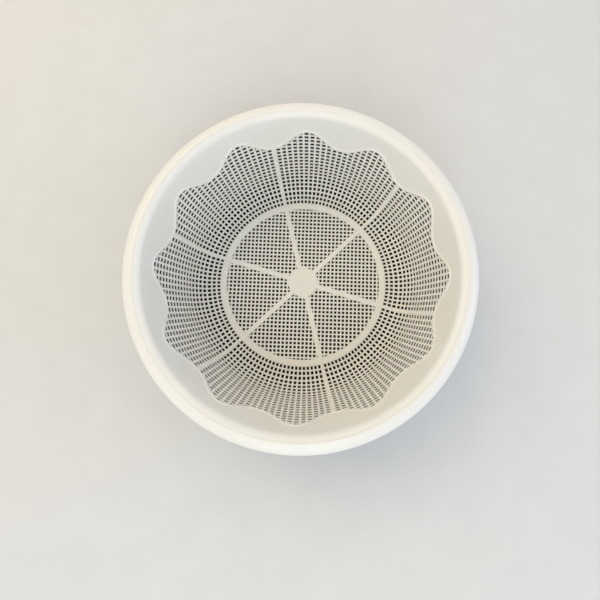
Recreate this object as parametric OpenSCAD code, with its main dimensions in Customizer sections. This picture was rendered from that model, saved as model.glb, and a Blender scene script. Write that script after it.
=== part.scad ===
// A fine-mesh colander that hangs by its turned-down rim in the bowl that catches its drips.
// Lengths are in millimetres, +Z is up, and the origin is the centre of the bowl's foot.
// The meridian is the line that the colander's inside follows from its centre out and up.

/* [Set] */
// Outer diameter of the colander's rim
rim_d = 250; // [230:1:280]
// Depth of the colander inside, from the top of its rim to its floor
depth = 88; // [80:1:100]
// Height of the sump between the colander's floor and the bowl's
sump_h = 5.7; // [3:0.1:20]
// Running clearance where the colander rests on the bowl
seat_gap = 0.3; // [0.2:0.05:0.6]

/* [Colander shell] */
// Radius of the bend between floor and wall
bend_r = 10; // [8:0.5:12]
// Angle that the bend turns through
bend_angle = 49.5; // [46:0.5:52]
// Radius of the haunch above the bend
haunch_r = 39; // [35:1:43]
// Angle that the haunch turns through
haunch_angle = 24.4; // [23:0.2:26]
// Radius of the long bow of the wall
bow_r = 368; // [350:1:420]
// Thickness of the wall and floor
wall_t = 1.8; // [1.4:0.1:2.2]

/* [Colander rim] */
// Radius of the rounded edge at the mouth
mouth_round = 3.2; // [1:0.1:3.6]
// Width from the mouth to where the rim starts to curl down
ledge_w = 4.3; // [3.8:0.1:5]
// Outer radius of the rim's curl
curl_r = 9.7; // [8:0.1:12]
// Height of the plain skirt under the rim's curl
skirt_h = 3; // [2:0.5:8]

/* [Wall mesh] */
// Rows of holes up the wall
mesh_rows = 10; // [6:1:10]
// Columns of holes in each sector between two ribs
sector_cols = 12; // [6:1:12]
// Distance between rows, measured up the wall
row_pitch = 8.4; // [7.8:0.1:8.6]
// Height of a hole, measured up the wall
hole_h = 4.8; // [3:0.1:5.6]
// Angle that a hole spans round the axis
hole_angle = 2.7; // [1.8:0.1:3.2]
// Rows that the mesh loses in the valley between two lobes
valley_rows = 2; // [1:1:3]
// Width of the solid ribs up the wall
rib_w = 3.4; // [2.6:0.2:5]
// Height that the floor's ring, spokes and hub stand proud of the mesh
proud_h = 0.5; // [0.3:0.1:0.8]

/* [Floor mesh] */
// Distance from the floor ring in to the bend's start
ring_inset = 7; // [6:0.5:9]
// Width of the floor ring
ring_w = 5.8; // [4:0.2:8]
// Distance between floor holes
grid_pitch = 7.14; // [6:0.02:8]
// Side of a square floor hole
grid_hole = 4.2; // [2.6:0.1:4.8]
// Width of the spokes
spoke_w = 4.4; // [3:0.2:6]
// Diameter of the solid hub
hub_d = 27; // [20:1:34]
// Diameter of the gate mark in the hub
gate_d = 8; // [5:0.5:12]
// Depth of the gate mark
gate_depth = 0.4; // [0.2:0.1:0.8]

/* [Bowl] */
// Thickness of the bowl's wall and floor
bowl_t = 2; // [1.6:0.1:2.4]
// Gap beside the wall between colander and bowl
side_gap = 2.2; // [1.6:0.1:2.8]
// Gap between the two curled rims
curl_gap = 1.2; // [0.8:0.1:1.8]
// Height of the foot ring
foot_h = 2.5; // [1.5:0.5:3]
// Width of the foot ring
foot_w = 3; // [2:0.5:6]

/* [Hidden] */
$fn = 192;

// Length by which a cut runs past the surface that it opens
overrun = 1;
// Ribs, spokes and sectors, and lobes of the mesh's upper edge
sectors = 6;
lobes = 12;
// Azimuth of the first rib: the floor grid lies along X and Y, and a rib halves its corner
rib_azimuth = 45;
// Room that a rib takes among the columns of holes, as a share of a column
rib_room_share = 0.6;
// Angle that one flat step of a curved outline may turn
step_angle = 7;
// Steps of the curled rims and of the rounded mouth
curl_steps = 8;
round_steps = 4;
// The ribs stand lower than the ring, by this share, so that they run out inside it
rib_share = 0.8;
// Where the bowl's curl leaves its wall, as a share of the angle at which they would cross
root_share = 0.8;
// Degrees in a radian
radian = 180 / PI;

// A place on the meridian is [radius, height over the floor, slope in degrees].
function turned(p, r, turn) = [
  p[0] + r * (sin(p[2] + turn) - sin(p[2])),
  p[1] + r * (cos(p[2]) - cos(p[2] + turn)),
  p[2] + turn
];
// Where the bend, the haunch and the bow end, measured from the edge of the flat floor
bend_run = turned([0, 0, 0], bend_r, bend_angle);
haunch_run = turned(bend_run, haunch_r, haunch_angle);
rim_slope = acos(cos(haunch_run[2]) - (depth - haunch_run[1]) / bow_r);
rim_run = turned(haunch_run, bow_r, rim_slope - haunch_run[2]);

// Radii, from the rim inwards
ledge_r = rim_d / 2 - curl_r;
mouth_r = ledge_r - ledge_w;
flat_r = mouth_r - rim_run[0];
ring_r = flat_r - ring_inset;
bowl_curl_r = curl_r - wall_t - curl_gap;

// Distances along the meridian, from the axis
s_bend = flat_r + bend_r * bend_angle / radian;
s_haunch = s_bend + haunch_r * haunch_angle / radian;
s_rim = s_haunch + bow_r * (rim_slope - haunch_run[2]) / radian;
s_mesh_top = ring_r + mesh_rows * row_pitch;
s_valley = s_mesh_top - valley_rows * row_pitch;

function place(s) = let (edge = [flat_r, 0, 0])
  s <= flat_r ? [s, 0, 0] :
  s <= s_bend ? turned(edge, bend_r, (s - flat_r) / bend_r * radian) :
  s <= s_haunch ? turned(edge + bend_run, haunch_r, (s - s_bend) / haunch_r * radian) :
  turned(edge + haunch_run, bow_r, (s - s_haunch) / bow_r * radian);

// Heights, from the foot upwards
bowl_floor_z = foot_h + bowl_t;
floor_z = bowl_floor_z + sump_h + wall_t;
set_h = floor_z + depth;
bowl_top_z = set_h - wall_t - seat_gap;

// The colander's section: a point at distance s, moved outwards from the inner face
function shell_point(s, out) = let (p = place(s)) [
  p[0] + out * sin(p[2]),
  floor_z + p[1] - out * cos(p[2])
];
// The bowl's section follows the colander's, grown by the gap and deepened to leave a sump
grown = wall_t + side_gap;
deepening = (bowl_top_z - bowl_floor_z) / (bowl_top_z - (floor_z - grown));
s_bowl_top = s_rim - (shell_point(s_rim, grown)[1] - bowl_top_z) / sin(rim_slope);
function bowl_point(s, out) = let (
  p = shell_point(s, grown),
  slope = atan2(deepening * sin(place(s)[2]), cos(place(s)[2]))
) [
  p[0] + out * sin(slope),
  bowl_top_z - (bowl_top_z - p[1]) * deepening - out * cos(slope)
];

// Distances from a to b, close enough that no step turns too far
function steps(a, b) = let (n = max(1, ceil((place(b)[2] - place(a)[2]) / step_angle)))
  [for (i = [0 : n]) a + (b - a) * i / n];
function back(list) = [for (i = [len(list) - 1 : -1 : 0]) list[i]];
function later(list) = [for (i = [1 : len(list) - 1]) list[i]];
// Outline of the shell between two distances and two depths in its wall
function shell_outline(a, b, from, to) = let (ss = steps(a, b)) concat(
  [for (s = ss) shell_point(s, to)],
  [for (s = back(ss)) shell_point(s, from)]
);
function arc_points(centre, r, from, to, count) = [
  for (i = [0 : count]) let (a = from + (to - from) * i / count)
    centre + r * [cos(a), sin(a)]
];

// Outline of a rim that curls down to upright and ends in a skirt, from under, at angle root, to top
function curl_outline(top_z, r, t, skirt, root) = let (centre = [ledge_r, top_z - r]) concat(
  arc_points(centre, r - t, root, 0, curl_steps),
  skirt > 0 ? [centre + [r - t, -skirt], centre + [r, -skirt]] : [],
  arc_points(centre, r, 0, 90, curl_steps)
);

// Solid wall above the mesh, the rounded mouth and the turned-down rim
module colander_rim() {
  round_centre = [mouth_r + mouth_round * tan(rim_slope / 2), set_h - mouth_round];
  inside = steps(s_mesh_top, s_rim - mouth_round);
  outside = steps(s_mesh_top, s_rim - 2 * wall_t);
  rotate_extrude()
    polygon(concat(
      [for (s = outside) shell_point(s, wall_t)],
      [[shell_point(s_rim, wall_t)[0] + wall_t / 2, set_h - wall_t]],
      curl_outline(set_h, curl_r, wall_t, skirt_h, 90),
      arc_points(round_centre, mouth_round, 90, 90 + rim_slope, round_steps),
      [for (s = back(inside)) shell_point(s, 0)]
    ));
}

// Rows of holes over one another: the mesh's upper edge is a wave, lowest at the ribs
function column_rows(from_rib) =
  mesh_rows - round(valley_rows * (1 + cos(from_rib * lobes)) / 2);
column_turn = 360 / sectors / (sector_cols + rib_room_share);
function column_azimuth(i) = (i - (sector_cols - 1) / 2) * column_turn;

// One band of the wall, as high as a row, with its ring of holes
module mesh_row(row) {
  s_mid = ring_r + (row - 0.5) * row_pitch;
  difference() {
    rotate_extrude()
      polygon(shell_outline(s_mid - row_pitch / 2, s_mid + row_pitch / 2, 0, wall_t));
    for (sector = [0 : sectors - 1])
      for (i = [0 : sector_cols - 1])
        if (row <= column_rows(180 / sectors + column_azimuth(i)))
          rotate(rib_azimuth + 180 / sectors + 360 / sectors * sector + column_azimuth(i))
            mesh_hole(s_mid - hole_h / 2, s_mid + hole_h / 2);
  }
}

// A hole with sides through the axis and ends square to the wall
module mesh_hole(a, b) {
  rotate(-hole_angle / 2)
    rotate_extrude(angle = hole_angle)
      polygon(shell_outline(a, b, -overrun, wall_t + overrun));
}

module wall_rib() {
  rib_h = proud_h * rib_share;
  rotate([90, 0, 0])
    linear_extrude(rib_w, center = true)
      polygon(shell_outline(ring_r - ring_w / 4, s_valley, -rib_h, wall_t + rib_h));
}

module wall_mesh() {
  for (row = [1 : mesh_rows]) mesh_row(row);
  for (i = [0 : sectors - 1])
    rotate(rib_azimuth + i * 360 / sectors) wall_rib();
}

// Floor holes lie on a square grid, wherever their centres clear the ring and the hub
module floor_grid() {
  ring_in = ring_r - ring_w;
  hub_in = (hub_d - grid_hole) / 2;
  last = ceil(ring_in / grid_pitch) - 0.5;
  linear_extrude(wall_t)
    difference() {
      circle(ring_in + ring_w / 2);
      for (i = [-last : last])
        for (j = [-last : last])
          if (norm([i, j]) * grid_pitch < ring_in && norm([i, j]) * grid_pitch > hub_in)
            translate([i, j] * grid_pitch) square(grid_hole, center = true);
    }
}

// Ring, hub and spokes, which stand proud of the floor mesh above and below
module floor_frame() {
  frame_h = wall_t + 2 * proud_h;
  spoke_in = hub_d / 4;
  spoke_out = ring_r - ring_w / 2;
  difference() {
    linear_extrude(frame_h) {
      difference() {
        circle(ring_r);
        circle(ring_r - ring_w);
      }
      circle(d = hub_d);
      for (i = [0 : sectors - 1])
        rotate(rib_azimuth + i * 360 / sectors)
          translate([spoke_in, -spoke_w / 2]) square([spoke_out - spoke_in, spoke_w]);
    }
    translate([0, 0, frame_h - gate_depth]) cylinder(d = gate_d, h = gate_depth + overrun);
  }
}

module colander() {
  color("ghostwhite") {
    colander_rim();
    wall_mesh();
    translate([0, 0, floor_z - wall_t]) floor_grid();
    translate([0, 0, floor_z - wall_t - proud_h]) floor_frame();
  }
}

module bowl() {
  // Its wall meets the curl from below, clear of the angle at which the two would cross
  cross_angle = acos((bowl_point(s_bowl_top, bowl_t)[0] - ledge_r) / (bowl_curl_r - bowl_t));
  low_steps = concat([0], steps(flat_r, s_bend), later(steps(s_bend, s_haunch)));
  outside = concat(low_steps, later(steps(s_haunch, s_bowl_top - 2 * bowl_t)));
  inside = concat(low_steps, later(steps(s_haunch, s_bowl_top)));
  color("dimgray")
    rotate_extrude() {
      polygon(concat(
        [for (s = outside) bowl_point(s, bowl_t)],
        curl_outline(bowl_top_z, bowl_curl_r, bowl_t, 0, cross_angle * root_share),
        [for (s = back(inside)) bowl_point(s, 0)]
      ));
      translate([flat_r - foot_w, 0]) square([foot_w, foot_h + bowl_t / 2]);
    }
}

bowl();
colander();
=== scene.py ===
"""Looks of the colander with bowl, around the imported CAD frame.

Lengths are in millimetres, except where a comment says metres. Angles are in degrees.
"""
import math

import bpy
import numpy as np
from mathutils import Matrix, Vector


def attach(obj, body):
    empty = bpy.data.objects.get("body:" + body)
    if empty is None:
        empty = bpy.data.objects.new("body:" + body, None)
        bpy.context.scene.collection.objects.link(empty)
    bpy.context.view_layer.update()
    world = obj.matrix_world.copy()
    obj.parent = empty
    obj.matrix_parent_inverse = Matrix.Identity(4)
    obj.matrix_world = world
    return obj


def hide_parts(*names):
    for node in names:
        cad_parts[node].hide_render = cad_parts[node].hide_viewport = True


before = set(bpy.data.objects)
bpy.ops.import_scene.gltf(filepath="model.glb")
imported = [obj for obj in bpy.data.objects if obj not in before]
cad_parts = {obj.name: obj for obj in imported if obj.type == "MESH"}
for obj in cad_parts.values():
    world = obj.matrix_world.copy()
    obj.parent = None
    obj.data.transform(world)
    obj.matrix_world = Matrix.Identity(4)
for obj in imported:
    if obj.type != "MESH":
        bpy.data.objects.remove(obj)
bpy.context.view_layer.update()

MM = 0.001
SET_H = 100.0
DEPTH = 88.0
FLOOR_Z = SET_H - DEPTH
RIM_R = 125.0
WALL_T = 1.8
SECTORS = 6
RIB_AZIMUTH = 45.0
FULL_TURN = 360.0

# The meridian, as in the CAD source. A place on it is (radius, height over the floor, slope).


def turned(start, radius, turn):
    """The place at the end of an arc that begins at the place start and turns upward."""
    r, z, slope = start
    a, b = math.radians(slope), math.radians(slope + turn)
    return r + radius * (math.sin(b) - math.sin(a)), z + radius * (math.cos(a) - math.cos(b)), slope + turn


BEND_R, BEND_TURN = 10.0, 49.5
HAUNCH_R, HAUNCH_TURN = 39.0, 24.4
BOW_R = 368.0
FLAT_END = (82.5, 0.0, 0.0)
BEND_END = turned(FLAT_END, BEND_R, BEND_TURN)
HAUNCH_END = turned(BEND_END, HAUNCH_R, HAUNCH_TURN)
RIM_SLOPE = math.degrees(
    math.acos(math.cos(math.radians(HAUNCH_END[2])) - (DEPTH - HAUNCH_END[1]) / BOW_R)
)

# distances along the meridian, from the axis
S_FLAT = FLAT_END[0]
S_BEND = S_FLAT + BEND_R * math.radians(BEND_TURN)
S_HAUNCH = S_BEND + HAUNCH_R * math.radians(HAUNCH_TURN)
S_RIM = S_HAUNCH + BOW_R * math.radians(RIM_SLOPE - HAUNCH_END[2])


def place(s):
    """The place at distance s along the meridian."""
    if s <= S_FLAT:
        return (s, 0.0, 0.0)
    if s <= S_BEND:
        return turned(FLAT_END, BEND_R, math.degrees((s - S_FLAT) / BEND_R))
    if s <= S_HAUNCH:
        return turned(BEND_END, HAUNCH_R, math.degrees((s - S_BEND) / HAUNCH_R))
    return turned(HAUNCH_END, BOW_R, math.degrees((s - S_HAUNCH) / BOW_R))


def shell_point(s, out):
    """(radius, height) at distance s along the meridian, moved out from the colander's inner face."""
    r, z, slope = place(s)
    a = math.radians(slope)
    return r + out * math.sin(a), FLOOR_Z + z - out * math.cos(a)


def polar(r, z, azimuth):
    a = math.radians(azimuth)
    return (r * math.cos(a), r * math.sin(a), z)


def arc(centre, radius, start, end, steps):
    """Points (radius, height) along an arc, both ends included."""
    angles = [math.radians(start + (end - start) * i / steps) for i in range(steps + 1)]
    return [(centre[0] + radius * math.cos(a), centre[1] + radius * math.sin(a)) for a in angles]


# The rim's curl is centred on the ledge's outer edge, on the colander and on the bowl.
LEDGE_W = 4.3
MOUTH_R = place(S_RIM)[0]
CURL_X = MOUTH_R + LEDGE_W

# a rounded lower edge, as (distance in from the face, height over the edge)
EDGE_ROUND = ((0.0, 0.5), (0.15, 0.13), (0.5, 0.0))


def lower_edge(outer_r, inner_r, z):
    """Points of a ring's rounded lower edge, from its outer face to its inner one."""
    down = [(outer_r - x, z + h) for x, h in EDGE_ROUND]
    return down + [(inner_r + x, z + h) for x, h in reversed(EDGE_ROUND)]


# Mesh helpers. An edge is shaded sharp where its faces meet at more than the given angle.
SHEET_SHARP = 60
LATHE_SHARP = 50
FRAME_SHARP = 40


def shade(mesh, sharp):
    mesh.shade_smooth()
    mesh.set_sharp_from_angle(angle=math.radians(sharp))


def mesh_object(name, verts, faces, sharp=SHEET_SHARP):
    mesh = bpy.data.meshes.new(name)
    mesh.from_pydata([(x * MM, y * MM, z * MM) for x, y, z in verts], [], faces)
    mesh.validate()
    obj = bpy.data.objects.new(name, mesh)
    bpy.context.scene.collection.objects.link(obj)
    shade(mesh, sharp)
    return obj


def weighted(obj):
    """Keeps broad faces flat in shading, so that narrow chamfers read as rounded edges."""
    m = obj.modifiers.new("weighted", "WEIGHTED_NORMAL")
    m.keep_sharp = True
    m.weight = 60
    return obj


def lathe(name, profile, segments):
    """Turns a closed outline of (radius, height), anticlockwise, about the axis.

    A point on the axis becomes one vertex.
    """
    verts, rings = [], []
    for r, z in profile:
        if r == 0:
            rings.append([len(verts)] * segments)
            verts.append((0.0, 0.0, z))
        else:
            rings.append(list(range(len(verts), len(verts) + segments)))
            verts += [polar(r, z, FULL_TURN * j / segments) for j in range(segments)]
    faces = []
    for i in range(len(rings)):
        a, b = rings[i], rings[(i + 1) % len(rings)]
        for j in range(segments):
            k = (j + 1) % segments
            loop = list(dict.fromkeys([a[j], a[k], b[k], b[j]]))
            if len(loop) > 2:
                faces.append(loop)
    return mesh_object(name, verts, faces, LATHE_SHARP)


class Perforated:
    """A sheet with chamfered holes, built on a grid of nodes with an inner and an outer skin.

    Each cell of the grid is closed by solid, opened by hole, or left out.
    """

    def __init__(self, inner, outer, chamfer):
        self.cols = len(inner[0])
        self.verts, self.faces = [], []
        self.chamfer = chamfer
        self.inner = self._add(inner)
        self.outer = self._add(outer)

    def _add(self, grid):
        out = []
        for line in grid:
            out.append(list(range(len(self.verts), len(self.verts) + len(line))))
            self.verts += line
        return out

    def corners(self, i, j):
        k = (j + 1) % self.cols
        return [(i, j), (i, k), (i + 1, k), (i + 1, j)]

    def solid(self, i, j):
        c = self.corners(i, j)
        self.faces.append([self.inner[a][b] for a, b in c])
        self.faces.append([self.outer[a][b] for a, b in reversed(c)])

    def hole(self, i, j):
        c = self.corners(i, j)
        top = [Vector(self.verts[self.inner[a][b]]) for a, b in c]
        low = [Vector(self.verts[self.outer[a][b]]) for a, b in c]
        rings = []
        for skin, other in ((top, low), (low, top)):
            across = ((skin[1] - skin[0]).length + (skin[2] - skin[3]).length) / 2
            along = ((skin[3] - skin[0]).length + (skin[2] - skin[1]).length) / 2
            u, v = self.chamfer / across, self.chamfer / along
            ring = []
            for x, y, q in ((u, v, 0), (1 - u, v, 1), (1 - u, 1 - v, 2), (u, 1 - v, 3)):
                p = (skin[0].lerp(skin[1], x)).lerp(skin[3].lerp(skin[2], x), y)
                deep = (other[q] - skin[q]).normalized() * self.chamfer
                ring.append(len(self.verts))
                self.verts.append(tuple(p + deep))
            rings.append(ring)
        inner = [self.inner[a][b] for a, b in c]
        outer = [self.outer[a][b] for a, b in c]
        for a, b in ((inner, rings[0]), (rings[0], rings[1]), (rings[1], outer)):
            for q in range(4):
                n = (q + 1) % 4
                self.faces.append([a[q], a[n], b[n], b[q]])

    def edge(self, a, b):
        """Closes the side of the sheet between two nodes."""
        (ai, aj), (bi, bj) = a, b
        self.faces.append([self.inner[ai][aj], self.inner[bi][bj], self.outer[bi][bj], self.outer[ai][aj]])


# The mesh in the colander's wall, with its real counts and places, fitted to the photograph's holes. Rows are
# distances along the meridian, and turns are angles about the axis.
SHELL_START = 73.0
ROWS = 20
ROW_PITCH = 4.2
FIRST_ROW = 77.3
HOLE_H = 2.7
COLUMNS = 23
COL_TURN = 2.5453
HOLE_TURN = 1.55
CHAMFER = 0.25
CHAMFER_TURN = 0.15
PLAIN_ROWS = 9
MESH_T = 1.05

# a rib's section as (turn, height), and the distance at which it has run out
RIB_OUTLINE = ((-0.95, 0.0), (-0.82, 0.36), (-0.5, 0.5), (0.0, 0.53), (0.5, 0.5), (0.82, 0.36), (0.95, 0.0))
RIB_END = 145.0
RUN_OUT = 3.0

# The scalloped upper edge of the mesh and its raised lip. A hole's centre stays clear of the edge.
EDGE_LOW, EDGE_HIGH = 143.8, 160.7
EDGE_POWER = 1.12
LOBES = 12
HOLE_TO_EDGE = 1.6
LIP_W, LIP_H = 4.0, 0.9
LIP_SINK = 0.06
LIP_ROOT = 0.9
LIP_STEPS = 1080
LIP_POINTS = 12

# The wall's grid ends a little below the mouth, which slopes up to the parting line. That is a bead given as
# (distance out from the curl's centre, distance down from the rim's top).
MOUTH_START = 5.3
MOUTH_ROUND = 5.0
MOUTH_CENTRE_DOWN = 5.34
MOUTH_CENTRE_IN = 0.45
MOUTH_END_ANGLE = 110
PARTING_BEAD = (
    (-0.75, 0.45), (-0.62, 0.3), (-0.5, 0.1), (-0.3, 0.0), (-0.1, 0.1), (0.0, 0.3), (0.12, 0.42), (0.28, 0.25),
)
CURL_START_ANGLE = 87.5
SKIRT_H = 3.0

# the round between wall and ledge on the outside, placed by a point a little above the grid's end
UNDER_LIFT = 0.4
UNDER_ROUND = 2.3
UNDER_END_ANGLE = 175


def smooth(t):
    """0 to 1, without a kink at either end."""
    t = min(max(t, 0.0), 1.0)
    return t * t * (3 - 2 * t)


def edge_s(azimuth):
    """Distance along the meridian of the scalloped upper edge of the mesh."""
    u = (1 + math.cos(math.radians(azimuth * LOBES))) / 2
    return EDGE_LOW + (EDGE_HIGH - EDGE_LOW) * u**EDGE_POWER


def thickness(s, azimuth):
    return MESH_T + (WALL_T - MESH_T) * smooth((s - edge_s(azimuth)) / RUN_OUT)


def wall_columns():
    """For each line of nodes up the wall its azimuth, the rib's height on it, and the hole column after it."""
    lines, rib, column = [], [], []
    half = HOLE_TURN / 2 + CHAMFER_TURN
    for k in range(SECTORS):
        base = RIB_AZIMUTH + FULL_TURN / SECTORS * k
        for turn, height in RIB_OUTLINE:
            lines.append(base + turn)
            rib.append(height)
            column.append(None)
        for j in range(COLUMNS):
            c = base + FULL_TURN / 2 / SECTORS + (j - (COLUMNS - 1) / 2) * COL_TURN
            lines += [c - half, c + half]
            rib += [0.0, 0.0]
            column += [c, None]
    return lines, rib, column


def wall_rows():
    """The distances of the rows of nodes along the meridian, and the hole row that follows some of them."""
    half = HOLE_H / 2 + CHAMFER
    s_lines, row_of = [SHELL_START], {}
    for i in range(ROWS):
        c = FIRST_ROW + ROW_PITCH * i
        row_of[len(s_lines)] = c
        s_lines += [c - half, c + half]
    s_lines += list(np.linspace(s_lines[-1], S_RIM - MOUTH_START, PLAIN_ROWS + 1)[1:])
    return s_lines, row_of


def shell_rim(s_top):
    """Points of mouth, parting line, curl and skirt, from the inner skin over to the outer one."""
    curl = RIM_R - CURL_X
    under = SET_H - WALL_T
    mouth_centre = (MOUTH_R + MOUTH_ROUND - MOUTH_CENTRE_IN, SET_H - MOUTH_CENTRE_DOWN)
    under_x = shell_point(s_top + UNDER_LIFT, WALL_T)[0] + UNDER_ROUND
    rim = arc(mouth_centre, MOUTH_ROUND, 90 + RIM_SLOPE, MOUTH_END_ANGLE, steps=10)
    rim += [(CURL_X + x, SET_H - down) for x, down in PARTING_BEAD]
    rim += arc((CURL_X, SET_H - curl), curl, CURL_START_ANGLE, 0, steps=20)
    rim += lower_edge(RIM_R, RIM_R - WALL_T, SET_H - curl - SKIRT_H)
    rim += arc((CURL_X, SET_H - curl), curl - WALL_T, 0, 90, steps=12)
    rim += arc((under_x, under - UNDER_ROUND), UNDER_ROUND, 90, UNDER_END_ANGLE, steps=6)
    return rim


def colander_shell():
    lines, rib, column = wall_columns()
    s_lines, row_of = wall_rows()
    cols = len(lines)
    inner, outer = [], []
    for s in s_lines:
        f = smooth((RIB_END - s) / RUN_OUT)
        inner.append([polar(*shell_point(s, -h * f), a) for a, h in zip(lines, rib)])
        outer.append([polar(*shell_point(s, thickness(s, a) + h * f), a) for a, h in zip(lines, rib)])
    sheet = Perforated(inner, outer, CHAMFER)
    for i in range(len(s_lines) - 1):
        for j in range(cols):
            c = column[j]
            if c is not None and i in row_of and row_of[i] <= edge_s(c) - HOLE_TO_EDGE:
                sheet.hole(i, j)
            else:
                sheet.solid(i, j)
    for j in range(cols):
        sheet.edge((0, (j + 1) % cols), (0, j))

    rings = [sheet.inner[-1]]
    for r, z in shell_rim(s_lines[-1]):
        rings.append(list(range(len(sheet.verts), len(sheet.verts) + cols)))
        sheet.verts += [polar(r, z, a) for a in lines]
    rings.append(sheet.outer[-1])
    for a, b in zip(rings, rings[1:]):
        for j in range(cols):
            k = (j + 1) % cols
            sheet.faces.append([a[j], a[k], b[k], b[j]])
    # rows run outward and columns anticlockwise here, so the faces are turned to look out of the plastic
    return weighted(mesh_object("colander_shell", sheet.verts, [face[::-1] for face in sheet.faces]))


def mesh_lip():
    """The low rounded bead along the scalloped edge of the mesh."""
    path = []
    for i in range(LIP_STEPS):
        a = FULL_TURN * i / LIP_STEPS
        s = edge_s(a)
        p = Vector(polar(*shell_point(s, 0.0), a))
        q = Vector(polar(*shell_point(s, -1.0), a))
        path.append((p, q - p))
    section = []
    for t in range(LIP_POINTS + 1):
        height = (LIP_H + LIP_SINK) * math.sin(math.pi * t / LIP_POINTS) ** 2 - LIP_SINK
        section.append((LIP_W * (t / LIP_POINTS - 0.5), height))
    section += [(LIP_W / 2, -LIP_ROOT), (-LIP_W / 2, -LIP_ROOT)]
    n = len(section)
    verts, faces = [], []
    for i in range(LIP_STEPS):
        p, inward = path[i]
        along = (path[(i + 1) % LIP_STEPS][0] - path[i - 1][0]).normalized()
        side = inward.cross(along).normalized()
        verts += [tuple(p + side * w + inward * h) for w, h in section]
    for i in range(LIP_STEPS):
        k = (i + 1) % LIP_STEPS
        for j in range(n):
            m = (j + 1) % n
            faces.append([i * n + j, k * n + j, k * n + m, i * n + m])
    return mesh_object("colander_mesh_edge", verts, faces)


# The colander's floor: a square mesh, and on it the ring, the spokes and the hub with its gate mark. The holes
# run a little way under the ring and the hub.
GRID_PITCH = 3.568
GRID_HOLE = 2.2
GRID_T = 1.2
GRID_CHAMFER = 0.2
RING_OUT, RING_IN = 75.6, 69.85
HUB_R = 13.6
SPOKE_W = 4.3
PROUD = 0.5
HUB_TOP = FLOOR_Z + PROUD
GRID_R = RING_OUT - 2.6
HOLES_FROM, HOLES_TO = HUB_R - 1.4, RING_IN + 1.2
FRAME_BEVEL = 0.4
GATE_R, GATE_FLOOR_R = 4.0, 3.6
GATE_DEPTH = 0.35
CUTTER_OVER = 1.0

# the gate's stub as (radius, depth under the hub's top)
STUB_OUTLINE = ((0, 0.6), (1.5, 0.6), (1.5, 0.25), (1.3, 0.12), (0, 0.08))


def floor_mesh():
    count = math.ceil(RING_OUT / GRID_PITCH)
    half = GRID_HOLE / 2 + GRID_CHAMFER
    lines = []
    for i in range(-count, count):
        c = (i + 0.5) * GRID_PITCH
        lines += [c - half, c + half]
    inner = [[(x, y, FLOOR_Z) for x in lines] for y in lines]
    outer = [[(x, y, FLOOR_Z - GRID_T) for x in lines] for y in lines]
    sheet = Perforated(inner, outer, GRID_CHAMFER)

    def radius(i, j):
        return math.hypot((lines[j] + lines[j + 1]) / 2, (lines[i] + lines[i + 1]) / 2)

    n = len(lines) - 1
    kept = {(i, j) for i in range(n) for j in range(n) if radius(i, j) < GRID_R}
    for i, j in sorted(kept):
        if i % 2 == 0 and j % 2 == 0 and HOLES_FROM < radius(i, j) < HOLES_TO:
            sheet.hole(i, j)
        else:
            sheet.solid(i, j)
        if (i - 1, j) not in kept:
            sheet.edge((i, j + 1), (i, j))
        if (i + 1, j) not in kept:
            sheet.edge((i + 1, j), (i + 1, j + 1))
        if (i, j - 1) not in kept:
            sheet.edge((i, j), (i + 1, j))
        if (i, j + 1) not in kept:
            sheet.edge((i + 1, j + 1), (i, j + 1))
    used = sorted({v for f in sheet.faces for v in f})
    index = {v: k for k, v in enumerate(used)}
    verts = [sheet.verts[v] for v in used]
    faces = [[index[v] for v in f] for f in sheet.faces]
    return weighted(mesh_object("colander_floor_mesh", verts, faces))


def circle(radius, start, end, count):
    """Points (x, y) along a circle, from one angle to another, in radians here, both ends included."""
    return [(radius * math.cos(t), radius * math.sin(t)) for t in np.linspace(start, end, count)]


def evaluated(obj):
    """A new mesh of an object with its modifiers or curve settings applied."""
    bpy.context.view_layer.update()
    return bpy.data.meshes.new_from_object(obj.evaluated_get(bpy.context.evaluated_depsgraph_get()))


def frame_plate():
    """Ring, hub and spokes: a flat outline with six windows, thickened, with rounded edges."""
    loops = [circle(RING_OUT, 0, 2 * math.pi, count=241)[:-1]]
    hub = math.asin(SPOKE_W / 2 / HUB_R)
    ring = math.asin(SPOKE_W / 2 / RING_IN)
    for k in range(SECTORS):
        a0 = math.radians(RIB_AZIMUTH + FULL_TURN / SECTORS * k)
        a1 = a0 + math.radians(FULL_TURN / SECTORS)
        by_hub = circle(HUB_R, a0 + hub, a1 - hub, count=10)
        by_ring = circle(RING_IN, a1 - ring, a0 + ring, count=44)
        loops.append(by_hub + by_ring)
    data = bpy.data.curves.new("floor_frame", "CURVE")
    data.dimensions = "2D"
    data.fill_mode = "BOTH"
    data.extrude = (WALL_T / 2 + PROUD - FRAME_BEVEL) * MM
    data.bevel_depth = FRAME_BEVEL * MM
    data.bevel_resolution = 2
    data.offset = -FRAME_BEVEL * MM
    for loop in loops:
        spline = data.splines.new("POLY")
        spline.points.add(len(loop) - 1)
        for point, (x, y) in zip(spline.points, loop):
            point.co = (x * MM, y * MM, 0, 1)
        spline.use_cyclic_u = True
    source = bpy.data.objects.new("floor_frame_curve", data)
    bpy.context.scene.collection.objects.link(source)
    mesh = evaluated(source)
    bpy.data.objects.remove(source)
    return mesh


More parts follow.
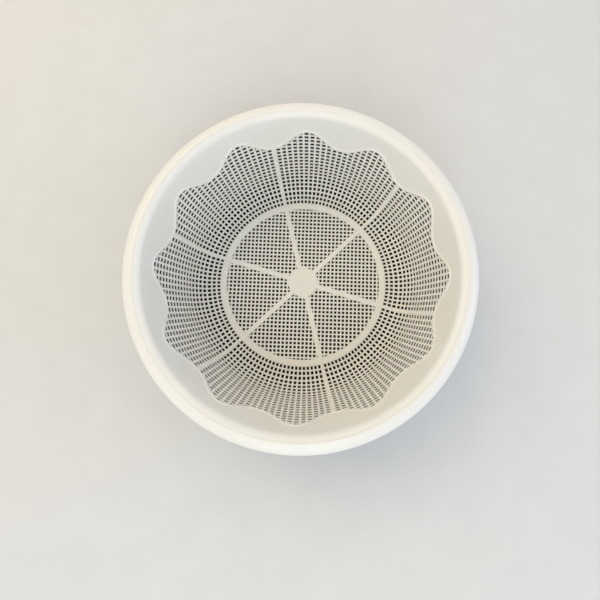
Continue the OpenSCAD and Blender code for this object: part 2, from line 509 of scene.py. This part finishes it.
def floor_frame():
    mesh = frame_plate()
    mesh.name = "colander_floor_frame"
    mesh.transform(Matrix.Translation((0, 0, (FLOOR_Z - WALL_T / 2) * MM)))
    obj = bpy.data.objects.new("colander_floor_frame", mesh)
    bpy.context.scene.collection.objects.link(obj)

    # the gate mark is a shallow round recess with the stub of the gate in it
    low, high = HUB_TOP - GATE_DEPTH, HUB_TOP + CUTTER_OVER
    recess = [(0, low), (GATE_FLOOR_R, low), (GATE_R, HUB_TOP), (GATE_R, high), (0, high)]
    cutter = lathe("gate_cutter", recess, segments=64)
    cut = obj.modifiers.new("gate", "BOOLEAN")
    cut.object = cutter
    cut.operation = "DIFFERENCE"
    cut.solver = "EXACT"
    done = evaluated(obj)
    obj.modifiers.clear()
    obj.data = done
    bpy.data.objects.remove(cutter)
    shade(done, FRAME_SHARP)
    return weighted(obj)


def gate_stub():
    return lathe("colander_gate_stub", [(r, HUB_TOP - down) for r, down in STUB_OUTLINE], segments=48)


# The bowl follows the colander's meridian at a distance, stretched downward to leave room for the sump.
BOWL_T = 2.0
SEAT_GAP, SIDE_GAP, CURL_GAP = 0.3, 2.2, 1.2
BOWL_TOP = SET_H - WALL_T - SEAT_GAP
BOWL_FLOOR = 4.5
GROWN = WALL_T + SIDE_GAP
DEEPENING = (BOWL_TOP - BOWL_FLOOR) / (BOWL_TOP - (FLOOR_Z - GROWN))
BOWL_MOUTH_ROUND = 2.0
BOWL_MOUTH_START = 2.4
BOWL_MOUTH_ANGLE = 172
CURL_EDGE = 0.4
CURL_ROOT = 5.0
CURL_ROOT_ANGLE = 57
FOOT_W = 3.0
FOOT_FILLET_OUT, FOOT_FILLET_IN = 0.2, 0.3


def bowl_point(s, out):
    """(radius, height) on the bowl for distance s along the meridian, moved out from its inner face."""
    r, z = shell_point(s, GROWN)
    a = math.radians(place(s)[2])
    slope = math.atan2(DEEPENING * math.sin(a), math.cos(a))
    return r + out * math.sin(slope), BOWL_TOP - (BOWL_TOP - z) * DEEPENING - out * math.cos(slope)


def bowl():
    s_top = S_RIM - (shell_point(S_RIM, GROWN)[1] - BOWL_TOP) / math.sin(math.radians(RIM_SLOPE))
    curl = RIM_R - CURL_X - WALL_T - CURL_GAP
    spread = [0.0]
    stretches = ((S_FLAT, 12), (S_BEND, 12), (S_HAUNCH, 10), (s_top - BOWL_MOUTH_START, 24))
    for end, count in stretches:
        spread += list(np.linspace(spread[-1], end, count)[1:])
    inside = [bowl_point(s, 0) for s in spread]
    inside[0] = (0.0, inside[0][1])

    mouth_centre = (bowl_point(s_top, 0)[0] + BOWL_MOUTH_ROUND, BOWL_TOP - BOWL_MOUTH_ROUND)
    curl_centre = (CURL_X, BOWL_TOP - curl)
    edge_z = curl_centre[1] - CURL_EDGE
    rim = arc(mouth_centre, BOWL_MOUTH_ROUND, BOWL_MOUTH_ANGLE, 90, steps=6)
    rim += arc(curl_centre, curl, 90, 0, steps=14)
    rim += [(CURL_X + curl - CURL_EDGE, edge_z), (CURL_X + curl - BOWL_T + CURL_EDGE, edge_z)]
    rim += arc(curl_centre, curl - BOWL_T, 0, CURL_ROOT_ANGLE, steps=8)

    foot_out, foot_in = S_FLAT, S_FLAT - FOOT_W
    root_z = bowl_point(s_top - CURL_ROOT, BOWL_T)[1]
    outside = [bowl_point(s, BOWL_T) for s in reversed(spread)]
    wall = [p for p in outside if p[1] < root_z and p[0] > foot_out]
    under = BOWL_FLOOR - BOWL_T
    foot = [(foot_out, under + FOOT_FILLET_OUT)] + lower_edge(foot_out, foot_in, 0.0)
    foot += [(foot_in, under - FOOT_FILLET_IN), (foot_in - FOOT_FILLET_IN, under)]
    outline = inside + rim + wall + foot + [(0.0, under)]
    # the outline runs clockwise, so it is turned
    return weighted(lathe("bowl_shell", outline[::-1], segments=288))


# Materials. Noise scales are in waves to the metre, and bumps are (scale, detail, strength, height in metres).
TINT_BAND = 0.35, 0.65
PLASTIC_IOR = 1.49
WHITE_TINTS = (0.915, 0.893, 0.835), (0.925, 0.905, 0.853)
WHITE_ROUGHNESS = 0.27, 0.4
WHITE_BUMPS = ((45, 1, 0.25, 0.0004), (900, 2, 0.12, 0.0001))
DARK_TINTS = (0.02, 0.015, 0.012), (0.028, 0.022, 0.018)
DARK_ROUGHNESS = 0.35, 0.5
DARK_BUMPS = ((40, 1, 0.2, 0.0004), (1400, 2, 0.25, 0.0001))
FLOOR_TINTS = (0.79, 0.785, 0.775), (0.81, 0.805, 0.795)


def material(name, build):
    m = bpy.data.materials.new(name)
    m.use_nodes = True
    nodes, links = m.node_tree.nodes, m.node_tree.links
    build(nodes, links, nodes["Principled BSDF"])
    return m


def noise(nodes, links, scale, detail=3.0):
    texture = nodes.new("ShaderNodeTexNoise")
    texture.inputs["Scale"].default_value = scale
    texture.inputs["Detail"].default_value = detail
    links.new(nodes.new("ShaderNodeTexCoord").outputs["Object"], texture.inputs["Vector"])
    return texture.outputs["Fac"]


def tint(nodes, links, bsdf, tints, scale):
    """Lets the colour wander between two tints."""
    ramp = nodes.new("ShaderNodeValToRGB")
    for element, position, colour in zip(ramp.color_ramp.elements, TINT_BAND, tints):
        element.position = position
        element.color = (*colour, 1)
    links.new(noise(nodes, links, scale), ramp.inputs["Fac"])
    links.new(ramp.outputs["Color"], bsdf.inputs["Base Color"])


def roughen(nodes, links, bsdf, limits, scale):
    """Lets the roughness wander between two limits."""
    spread = nodes.new("ShaderNodeMapRange")
    spread.inputs["To Min"].default_value, spread.inputs["To Max"].default_value = limits
    links.new(noise(nodes, links, scale), spread.inputs["Value"])
    links.new(spread.outputs["Result"], bsdf.inputs["Roughness"])


def bump(nodes, links, bsdf, bumps):
    """Stacks bumps onto the shader's normal."""
    last = None
    for scale, detail, strength, distance in bumps:
        b = nodes.new("ShaderNodeBump")
        b.inputs["Strength"].default_value = strength
        b.inputs["Distance"].default_value = distance
        links.new(noise(nodes, links, scale, detail), b.inputs["Height"])
        if last:
            links.new(last, b.inputs["Normal"])
        last = b.outputs["Normal"]
    links.new(last, bsdf.inputs["Normal"])


def white_plastic(nodes, links, bsdf):
    tint(nodes, links, bsdf, WHITE_TINTS, scale=9)
    roughen(nodes, links, bsdf, WHITE_ROUGHNESS, scale=60)
    bsdf.inputs["IOR"].default_value = PLASTIC_IOR
    bsdf.inputs["Subsurface Weight"].default_value = 0.06
    bsdf.inputs["Subsurface Radius"].default_value = (1.0, 0.85, 0.6)
    bsdf.inputs["Subsurface Scale"].default_value = 3 * MM
    bump(nodes, links, bsdf, WHITE_BUMPS)


def dark_plastic(nodes, links, bsdf):
    tint(nodes, links, bsdf, DARK_TINTS, scale=14)
    roughen(nodes, links, bsdf, DARK_ROUGHNESS, scale=80)
    bsdf.inputs["IOR"].default_value = PLASTIC_IOR
    bsdf.inputs["Specular IOR Level"].default_value = 0.3
    bump(nodes, links, bsdf, DARK_BUMPS)


white = material("white_polypropylene", white_plastic)
dark = material("dark_polypropylene", dark_plastic)

shell = colander_shell()
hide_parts("colander")
for piece in (shell, mesh_lip(), floor_mesh(), floor_frame(), gate_stub()):
    piece.data.materials.append(white)
    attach(piece, "colander")

bowl_piece = bowl()
bowl_piece.data.materials.append(dark)
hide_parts("bowl")
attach(bowl_piece, "bowl")

# The floor in metres: half its width, and the distances from the object between which it fades into the room.
FLOOR_HALF = 4
FADE_FROM, FADE_TO = 0.7, 1.5


def backdrop(nodes, links, bsdf):
    tint(nodes, links, bsdf, FLOOR_TINTS, scale=30)
    bsdf.inputs["Roughness"].default_value = 0.9
    bsdf.inputs["Specular IOR Level"].default_value = 0.1
    distance = nodes.new("ShaderNodeVectorMath")
    distance.operation = "LENGTH"
    links.new(nodes.new("ShaderNodeTexCoord").outputs["Object"], distance.inputs[0])
    fade = nodes.new("ShaderNodeMapRange")
    fade.interpolation_type = "SMOOTHSTEP"
    fade.inputs["From Min"].default_value, fade.inputs["From Max"].default_value = FADE_FROM, FADE_TO
    links.new(distance.outputs["Value"], fade.inputs["Value"])
    mix = nodes.new("ShaderNodeMixShader")
    links.new(fade.outputs["Result"], mix.inputs["Fac"])
    links.new(bsdf.outputs["BSDF"], mix.inputs[1])
    links.new(nodes.new("ShaderNodeBsdfTransparent").outputs["BSDF"], mix.inputs[2])
    links.new(mix.outputs["Shader"], nodes["Material Output"].inputs["Surface"])


floor_data = bpy.data.meshes.new("floor")
square = ((-1, -1), (1, -1), (1, 1), (-1, 1))
floor_data.from_pydata([(x * FLOOR_HALF, y * FLOOR_HALF, 0) for x, y in square], [], [(0, 1, 2, 3)])
floor = bpy.data.objects.new("floor", floor_data)
bpy.context.scene.collection.objects.link(floor)
floor_data.materials.append(material("pale_floor", backdrop))

# The room is pale with a duller ceiling. Its colours are given by the sine of the height over the horizon.
SKY = ((0.45, (0.76, 0.77, 0.775)), (0.75, (0.38, 0.38, 0.375)))

world = bpy.data.worlds.new("studio")
world.use_nodes = True
nodes, links = world.node_tree.nodes, world.node_tree.links
height = nodes.new("ShaderNodeSeparateXYZ")
links.new(nodes.new("ShaderNodeTexCoord").outputs["Generated"], height.inputs["Vector"])
sky = nodes.new("ShaderNodeValToRGB")
for element, (sine, colour) in zip(sky.color_ramp.elements, SKY):
    element.position = sine
    element.color = (*colour, 1)
links.new(height.outputs["Z"], sky.inputs["Fac"])
links.new(sky.outputs["Color"], nodes["Background"].inputs["Color"])
nodes["Background"].inputs["Strength"].default_value = 1.0
bpy.context.scene.world = world

# Soft lamps as (name, place, diameter, watts, colour), in metres. All look at one point.
LAMP_TARGET = Vector((0, 0, 0.06))
LAMPS = (
    ("warm_left", (-0.65, 0.45, 1.0), 0.8, 4.0, (1.0, 0.75, 0.4)),
    ("back", (0.0, 0.75, 1.065), 0.8, 1.5, (1.0, 0.95, 0.9)),
    ("front", (0.0, -0.75, 1.065), 0.8, 3.3, (0.9, 1.0, 1.0)),
    ("low_front", (0.0, -1.48, 0.6), 1.0, 3.4, (0.85, 0.92, 1.0)),
    ("low_right", (1.48, 0.0, 0.6), 1.0, 4.4, (0.5, 0.65, 1.0)),
)


def lamp(name, location, size, watts, colour):
    data = bpy.data.lights.new(name, "AREA")
    data.shape = "DISK"
    data.size = size
    data.energy = watts
    data.color = colour
    obj = bpy.data.objects.new(name, data)
    obj.location = location
    obj.rotation_euler = (LAMP_TARGET - Vector(location)).to_track_quat("-Z", "Y").to_euler()
    obj.visible_camera = False
    bpy.context.scene.collection.objects.link(obj)


for settings in LAMPS:
    lamp(*settings)

# The photograph's camera, fitted to the mesh's holes: its place over the colander's floor, its angles, and its
# focal length and centre in pixels of a frame 600 wide, counted from the first pixel's centre.
CAMERA_AT = (4.916, -45.112, 334.814)
TILT_X, TILT_Y, TURN_Z = -8.813, 0.5056, 2.1
FOCAL_PX = 367.703
PRINCIPAL = (311.144, 274.310)
PIXEL_CENTRE = 0.5
FRAME_PX = 600.0
SENSOR = 36.0

to_camera = Matrix.Rotation(math.radians(TILT_Y), 3, "Y") @ Matrix.Rotation(math.radians(TILT_X), 3, "X")
to_frame = Matrix.Rotation(math.radians(TURN_Z), 3, "Z")
camera_data = bpy.data.cameras.new("camera")
camera_data.sensor_width = SENSOR
camera_data.lens = FOCAL_PX * SENSOR / FRAME_PX
camera_data.shift_x = (FRAME_PX / 2 - PRINCIPAL[0] - PIXEL_CENTRE) / FRAME_PX
camera_data.shift_y = (PRINCIPAL[1] + PIXEL_CENTRE - FRAME_PX / 2) / FRAME_PX
camera = bpy.data.objects.new("camera", camera_data)
pose = (to_frame @ to_camera.transposed()).to_4x4()
pose.translation = (to_frame @ Vector(CAMERA_AT) + Vector((0, 0, FLOOR_Z))) * MM
camera.matrix_world = pose
bpy.context.scene.collection.objects.link(camera)
bpy.context.scene.camera = camera
bpy.context.scene.view_settings.view_transform = "Standard"
